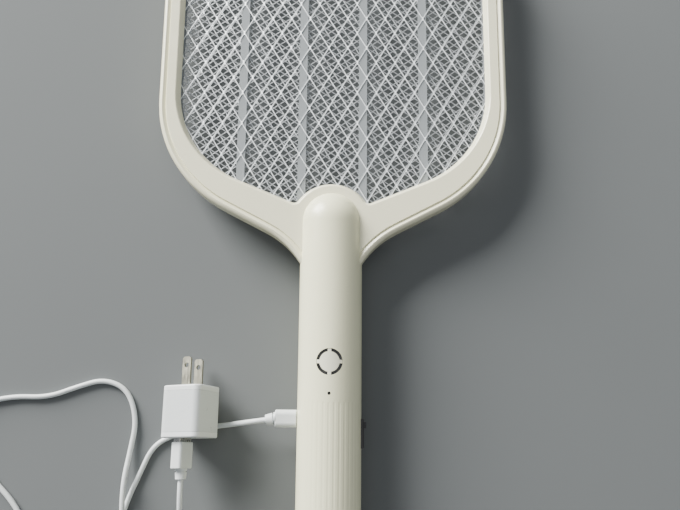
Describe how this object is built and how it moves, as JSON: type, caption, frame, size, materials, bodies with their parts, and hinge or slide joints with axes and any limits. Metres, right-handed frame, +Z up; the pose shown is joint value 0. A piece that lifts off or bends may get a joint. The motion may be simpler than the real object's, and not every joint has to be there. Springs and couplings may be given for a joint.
{
  "type": "electric fly swatter",
  "caption": "Racket-shaped electric fly swatter with a metal grid head, round push button, side switch, and a charging lead to a two-prong wall adapter.",
  "frame": {"origin": "centre of the bounding box of the swatter without its charging lead and adapter, on the table it lies on", "axes": "+Z up out of the front grid; +Y along the handle towards the head; +X to the swatter's right"},
  "size_m": [0.3266, 0.524, 0.0361],
  "materials": {
    "silver_shell": "satin silver paint",
    "frame_silver": "satin silver paint",
    "grid_metal": "expanded sheet, bright",
    "fine_grid_metal": "woven-fine expanded sheet",
    "spacer_plastic": "matt",
    "screw_steel": "zinc plated",
    "button_plastic": "satin",
    "smoked_ring": "smoked",
    "switch_black": "matt black",
    "tact_black": "matt black",
    "led_lens": "clear red",
    "light_pipe": "clear",
    "board_green": "solder mask",
    "ferrite": "matt ferrite",
    "winding_tape": "yellow tape over copper",
    "diode_black": "gloss",
    "capacitor_red": "dipped gloss",
    "chip_black": "moulded",
    "cell_wrap": "shrink-wrapped",
    "nickel": "nickel",
    "wire_red": "insulated",
    "wire_white": "insulated",
    "contact_steel": "nickel plated",
    "lead_grey": "smooth grey",
    "usb_tongue": "moulded",
    "adapter_grey": "satin moulded",
    "adapter_plate_grey": "satin moulded",
    "prong_metal": "nickel plated"
  },
  "bodies": {
    "swatter": {"front_frame": "frame_silver", "rear_frame": "frame_silver", "front_grid": "grid_metal", "rear_grid": "grid_metal", "fine_grid": "fine_grid_metal", "front_spacer": "spacer_plastic", "rear_spacer": "spacer_plastic", "frame_screws": "screw_steel", "handle_front_cover": "silver_shell", "handle_rear_cover": "silver_shell", "handle_screws": "screw_steel", "button_light_ring": "smoked_ring", "tactile_switch": "tact_black", "slide_switch_plate": "switch_black", "slide_switch_body": "contact_steel", "status_led": "led_lens", "led_light_pipe": "light_pipe", "main_board": "board_green", "transformer_core": "ferrite", "transformer_winding": "winding_tape", "multiplier_diodes": "diode_black", "storage_capacitor": "capacitor_red", "boost_transistor": "chip_black", "charge_controller": "chip_black", "battery_cell": "cell_wrap", "battery_tabs": "nickel", "battery_leads": "wire_red", "fine_grid_lead": "wire_red", "coarse_grid_leads": "wire_white", "charge_socket": "contact_steel"},
    "push_button": {"power_button": "button_plastic", "switch_plunger": "tact_black"},
    "switch_knob": {"slide_switch_knob": "switch_black"},
    "charging_lead": {"plug_shell": "contact_steel", "plug_boot": "lead_grey", "plug_strain_relief": "lead_grey", "charging_cord": "lead_grey", "usb_plug_shell": "contact_steel", "usb_plug_tongue": "usb_tongue", "usb_plug_boot": "lead_grey", "usb_plug_strain_relief": "lead_grey"},
    "wall_adapter": {"adapter_housing": "adapter_grey", "adapter_prong_plate": "adapter_plate_grey", "adapter_usb_plate": "adapter_plate_grey", "adapter_prongs": "prong_metal", "adapter_receptacle": "contact_steel", "adapter_board": "board_green", "adapter_transformer": "winding_tape"}
  },
  "joints": [
    {"name": "button_press", "type": "slide", "parent": "swatter", "child": "push_button", "axis": [0, 0, -1], "range_m": [0, 0.0008], "stiffness_N_per_m": 1500, "springref_m": -0.0005},
    {"name": "switch_slide", "type": "slide", "parent": "swatter", "child": "switch_knob", "axis": [0, -1, 0], "range_m": [0, 0.005]},
    {"name": "plug_pull", "type": "slide", "parent": "swatter", "child": "charging_lead", "axis": [-1, 0, 0], "range_m": [0, 0.0068]},
    {"name": "adapter_pull", "type": "slide", "parent": "charging_lead", "child": "wall_adapter", "axis": [-0.0165, 0.9934, -0.1132], "range_m": [0, 0.0095]}
  ]
}
